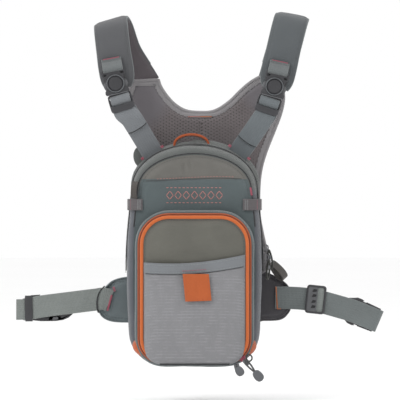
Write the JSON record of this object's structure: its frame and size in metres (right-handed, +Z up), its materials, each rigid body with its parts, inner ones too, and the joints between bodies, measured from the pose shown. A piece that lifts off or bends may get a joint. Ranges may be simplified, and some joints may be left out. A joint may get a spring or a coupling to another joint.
{
  "type": "fishing chest pack",
  "caption": "Compact fishing chest pack on a padded vest harness, with a fold-down zippered front pocket, mesh back yoke, shoulder straps with side-release buckles and a waist belt.",
  "frame": {"origin": "midway between the undersides of the two shoulder loops, where the wearer's shoulders carry the harness", "axes": "+Z up as worn, -Y out of the front of the pack, +Y out of the pack's back towards the wearer's chest, +X to the right as seen from the front"},
  "size_m": [0.4085, 0.1077, 0.4017],
  "materials": {
    "shell_nylon": "plain-weave nylon, teal grey, matte",
    "side_nylon": "plain-weave nylon, purple grey, matte",
    "ripstop": "light grey ripstop nylon with a fine rib, slight sheen",
    "orange_tape": "orange woven zipper tape",
    "orange_tab": "orange coated tab fabric, satin",
    "webbing": "grey woven nylon webbing with a slight sheen",
    "spacer_mesh": "open spacer mesh, brown grey, matte",
    "dark_cord": "dark olive cord and zipper tape",
    "black_plastic": "moulded acetal, charcoal, fine texture",
    "stiffener": "thin plastic sheet, matte",
    "pull_rubber": "moulded rubber pull, blue grey, matte",
    "zipper_metal": "dark nickel zipper slider, satin"
  },
  "bodies": {
    "root": {"back_panel": "shell_nylon", "rear_shell": "side_nylon", "frame_sheet": "stiffener", "inner_divider": "side_nylon", "main_tape_rear": "dark_cord", "haul_loop": "orange_tab", "back_yoke": "spacer_mesh", "shoulder_strap_left": "shell_nylon", "shoulder_strap_right": "shell_nylon", "strap_anchor_left": "webbing", "strap_anchor_right": "webbing", "strap_buckle_female_left": "black_plastic", "strap_buckle_female_right": "black_plastic", "strap_buckle_male_left": "black_plastic", "strap_buckle_male_right": "black_plastic", "adjuster_left": "webbing", "adjuster_right": "webbing", "adjuster_tail_left": "webbing", "adjuster_tail_right": "webbing", "wing_left": "shell_nylon", "wing_right": "shell_nylon", "wing_tab_left": "webbing", "wing_tab_right": "webbing", "side_loop": "webbing"},
    "lid": {"lid_shell": "shell_nylon", "main_tape_lid": "dark_cord", "pocket_gusset": "side_nylon", "pocket_tape_outer": "orange_tape", "corner_gusset_left": "orange_tape", "corner_gusset_right": "orange_tape", "tool_tab_left": "webbing", "tool_tab_right": "webbing"},
    "pocket_panel": {"front_panel": "shell_nylon", "pocket_tape_inner": "orange_tape", "ripstop_pouch": "ripstop"},
    "pull_tab": {"pull_tab": "orange_tab"},
    "main_slider_upper": {"main_slider_upper": "zipper_metal"},
    "main_pull_upper": {"main_pull_upper": "dark_cord"},
    "main_slider_lower": {"main_slider_lower": "zipper_metal"},
    "main_pull_lower": {"main_pull_lower": "dark_cord"},
    "pocket_slider_right": {"pocket_slider_right": "zipper_metal"},
    "pocket_pull_right": {"pocket_pull_right": "pull_rubber"},
    "pocket_slider_left": {"pocket_slider_left": "zipper_metal"},
    "pocket_pull_left": {"pocket_pull_left": "pull_rubber"},
    "strap_prong_left_inner": {"strap_prong_left_inner": "black_plastic"},
    "strap_prong_left_outer": {"strap_prong_left_outer": "black_plastic"},
    "strap_prong_right_inner": {"strap_prong_right_inner": "black_plastic"},
    "strap_prong_right_outer": {"strap_prong_right_outer": "black_plastic"},
    "belt_left": {"belt_left": "webbing"},
    "belt_buckle_female": {"belt_buckle_female": "black_plastic"},
    "belt_right": {"belt_right": "webbing"},
    "belt_triglide": {"belt_triglide": "black_plastic"},
    "belt_buckle_male": {"belt_buckle_male": "black_plastic"},
    "belt_prong_upper": {"belt_prong_upper": "black_plastic"},
    "belt_prong_lower": {"belt_prong_lower": "black_plastic"}
  },
  "joints": [
    {"name": "lid_fold", "type": "hinge", "parent": "root", "child": "lid", "pos_m": [-0.006, -0.02625, -0.363], "axis": [1, 0, 0], "range_deg": [0, 30]},
    {"name": "pocket_fold", "type": "hinge", "parent": "lid", "child": "pocket_panel", "pos_m": [-0.006, -0.063, -0.3544], "axis": [1, 0, 0], "range_deg": [0, 45]},
    {"name": "pull_tab_lift", "type": "hinge", "parent": "pocket_panel", "child": "pull_tab", "pos_m": [-0.006, -0.0767, -0.262], "axis": [-1, 0, 0], "range_deg": [0, 150]},
    {"name": "main_slider_upper_run", "type": "slide", "parent": "root", "child": "main_slider_upper", "axis": [0, 0, 1], "range_m": [0, 0.045]},
    {"name": "main_slider_lower_run", "type": "slide", "parent": "root", "child": "main_slider_lower", "axis": [0, 0, 1], "range_m": [-0.018, 0]},
    {"name": "main_pull_upper_swing", "type": "hinge", "parent": "main_slider_upper", "child": "main_pull_upper", "pos_m": [0.076, -0.0239, -0.236], "axis": [0, -1, 0], "range_deg": [0, 70]},
    {"name": "main_pull_lower_swing", "type": "hinge", "parent": "main_slider_lower", "child": "main_pull_lower", "pos_m": [0.076, -0.0289, -0.2465], "axis": [0, -1, 0], "range_deg": [0, 70]},
    {"name": "pocket_slider_right_run", "type": "hinge", "parent": "lid", "child": "pocket_slider_right", "pos_m": [0.034, -0.0655, -0.337], "axis": [0, -1, 0], "range_deg": [0, 40]},
    {"name": "pocket_pull_right_swing", "type": "hinge", "parent": "pocket_slider_right", "child": "pocket_pull_right", "pos_m": [0.05058, -0.0707, -0.35676], "axis": [-1, 0, 0], "range_deg": [0, 45]},
    {"name": "pocket_slider_left_run", "type": "hinge", "parent": "lid", "child": "pocket_slider_left", "pos_m": [0.034, -0.0655, -0.337], "axis": [0, -1, 0], "range_deg": [-14, 0]},
    {"name": "pocket_pull_left_swing", "type": "hinge", "parent": "pocket_slider_left", "child": "pocket_pull_left", "pos_m": [0.04024, -0.0707, -0.36203], "axis": [-1, 0, 0], "range_deg": [0, 45]},
    {"name": "strap_prong_left_inner_press", "type": "slide", "parent": "root", "child": "strap_prong_left_inner", "axis": [-0.9744, 0, -0.225], "range_m": [0, 0.002], "stiffness_N_per_m": 400},
    {"name": "strap_prong_left_outer_press", "type": "slide", "parent": "root", "child": "strap_prong_left_outer", "axis": [0.9744, 0, 0.225], "range_m": [0, 0.002], "stiffness_N_per_m": 400},
    {"name": "strap_prong_right_inner_press", "type": "slide", "parent": "root", "child": "strap_prong_right_inner", "axis": [0.9659, 0, -0.2588], "range_m": [0, 0.002], "stiffness_N_per_m": 400},
    {"name": "strap_prong_right_outer_press", "type": "slide", "parent": "root", "child": "strap_prong_right_outer", "axis": [-0.9659, 0, 0.2588], "range_m": [0, 0.002], "stiffness_N_per_m": 400},
    {"name": "belt_left_swing", "type": "hinge", "parent": "root", "child": "belt_left", "pos_m": [-0.1145, 0.02, -0.291], "axis": [0, 0, 1], "range_deg": [-10, 75]},
    {"name": "belt_right_swing", "type": "hinge", "parent": "root", "child": "belt_right", "pos_m": [0.1016, 0.02, -0.2891], "axis": [0, 0, -1], "range_deg": [-10, 75]},
    {"name": "belt_buckle_female_run", "type": "slide", "parent": "belt_left", "child": "belt_buckle_female", "axis": [0.9914, 0, 0.1305], "range_m": [0, 0.018]},
    {"name": "belt_triglide_run", "type": "slide", "parent": "belt_right", "child": "belt_triglide", "axis": [0.9833, 0, -0.1822], "range_m": [-0.005, 0.005]},
    {"name": "belt_buckle_male_swing", "type": "hinge", "parent": "belt_right", "child": "belt_buckle_male", "pos_m": [0.1942, 0.0248, -0.3137], "axis": [-0.3891, 0, -0.9212], "range_deg": [0, 150]},
    {"name": "belt_prong_upper_press", "type": "slide", "parent": "belt_buckle_male", "child": "belt_prong_upper", "axis": [-0.3891, 0, -0.9212], "range_m": [0, 0.0015], "stiffness_N_per_m": 400},
    {"name": "belt_prong_lower_press", "type": "slide", "parent": "belt_buckle_male", "child": "belt_prong_lower", "axis": [0.3891, 0, 0.9212], "range_m": [0, 0.0015], "stiffness_N_per_m": 400}
  ]
}
